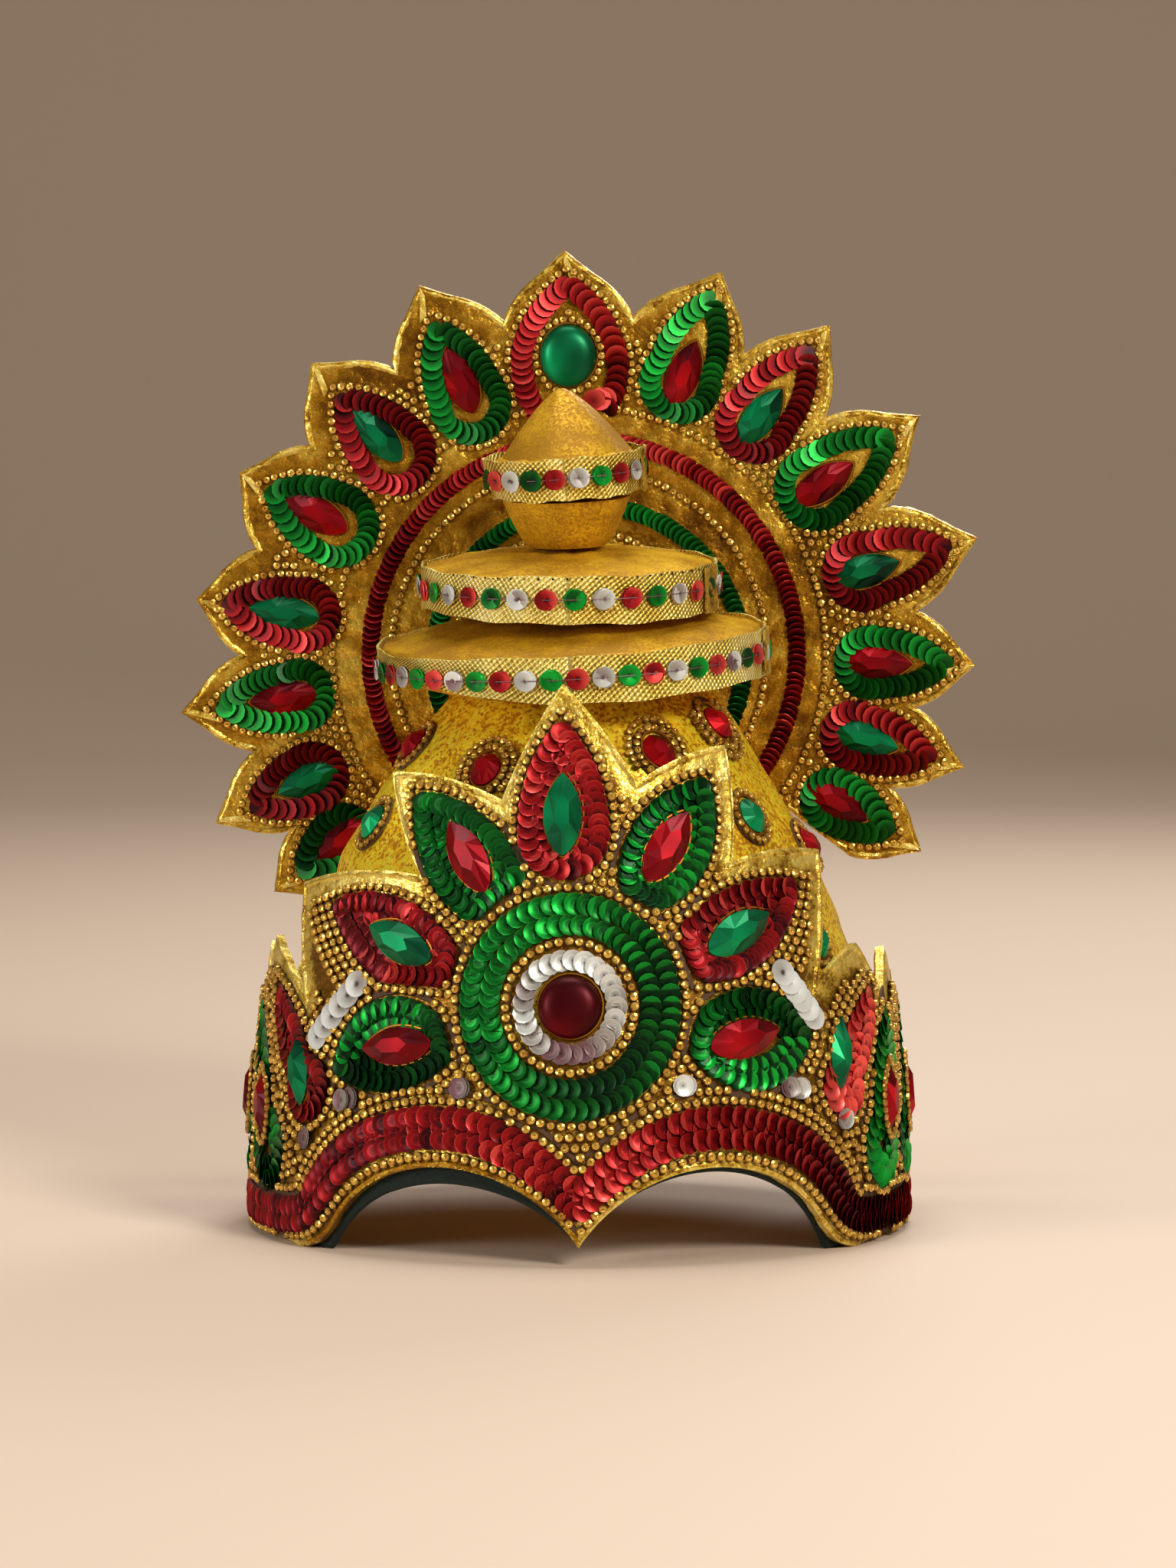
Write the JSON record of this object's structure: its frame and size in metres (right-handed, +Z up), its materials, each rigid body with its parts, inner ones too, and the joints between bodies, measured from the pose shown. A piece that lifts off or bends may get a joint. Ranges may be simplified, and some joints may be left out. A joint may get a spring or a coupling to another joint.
{
  "type": "dance crown",
  "caption": "Tall gold cloth dance crown with a petalled front shield, stacked padded discs, a finial and an upright petal halo, set with faceted stones.",
  "frame": {"origin": "on the surface that the crown stands on, under the middle of its width and depth", "axes": "+X to the right as seen from the front, +Y backwards, +Z up"},
  "size_m": [0.2433, 0.1896, 0.2889],
  "materials": {
    "gold_mesh": "coarse glittering knitted metallic mesh",
    "gold_tissue": "pleated metallic tissue",
    "gold_lame": "wrinkled metallic lame cloth",
    "gold_braid": "woven metallic braid ribbon",
    "gold_satin": "metallic satin with creases",
    "green_lining": "matt padded cloth",
    "red_stone": "foil-backed cut stone",
    "green_stone": "foil-backed cut stone",
    "maroon_stone": "foil-backed cut stone",
    "gold_bead": "metallised beads",
    "dark_bead": "glossy dark beads",
    "red_sequin": "cupped metallised sequins",
    "green_sequin": "cupped metallised sequins",
    "silver_sequin": "cupped metallised sequins",
    "dark_thread": "sewing thread"
  },
  "bodies": {
    "root": {"crown_cap": "gold_mesh", "front_shield": "gold_tissue", "front_lining": "green_lining", "large_disc": "gold_lame", "large_band": "gold_braid", "medium_disc": "gold_lame", "medium_band": "gold_braid", "finial_bulb": "gold_lame", "finial_disc": "gold_lame", "finial_band": "gold_braid", "finial_cone": "gold_lame", "halo": "gold_satin", "stone_rosette": "maroon_stone", "stone_middle": "green_stone", "stone_left_upper": "red_stone", "stone_left_mid": "green_stone", "stone_left_lower": "red_stone", "stone_left_wing_1": "green_stone", "stone_left_wing_2": "red_stone", "stone_left_wing_3": "red_stone", "stone_left_wing_4": "green_stone", "cap_stone_left_front": "red_stone", "cap_stone_left_back": "red_stone", "cap_stone_left_mid": "green_stone", "cap_stone_left_low": "green_stone", "stone_right_upper": "red_stone", "stone_right_mid": "green_stone", "stone_right_lower": "red_stone", "stone_right_wing_1": "green_stone", "stone_right_wing_2": "red_stone", "stone_right_wing_3": "red_stone", "stone_right_wing_4": "green_stone", "cap_stone_right_front": "red_stone", "cap_stone_right_back": "red_stone", "cap_stone_right_mid": "green_stone", "cap_stone_right_low": "green_stone", "cap_stone_right_side": "red_stone", "halo_stone_01": "red_stone", "halo_stone_02": "green_stone", "halo_stone_03": "red_stone", "halo_stone_04": "green_stone", "halo_stone_05": "red_stone", "halo_stone_06": "green_stone", "halo_stone_07": "red_stone", "halo_stone_08": "green_stone", "halo_stone_09": "red_stone", "halo_stone_10": "green_stone", "halo_stone_11": "red_stone", "halo_stone_12": "green_stone", "halo_stone_13": "red_stone", "halo_stone_14": "green_stone", "halo_stone_15": "red_stone"}
  },
  "joints": []
}
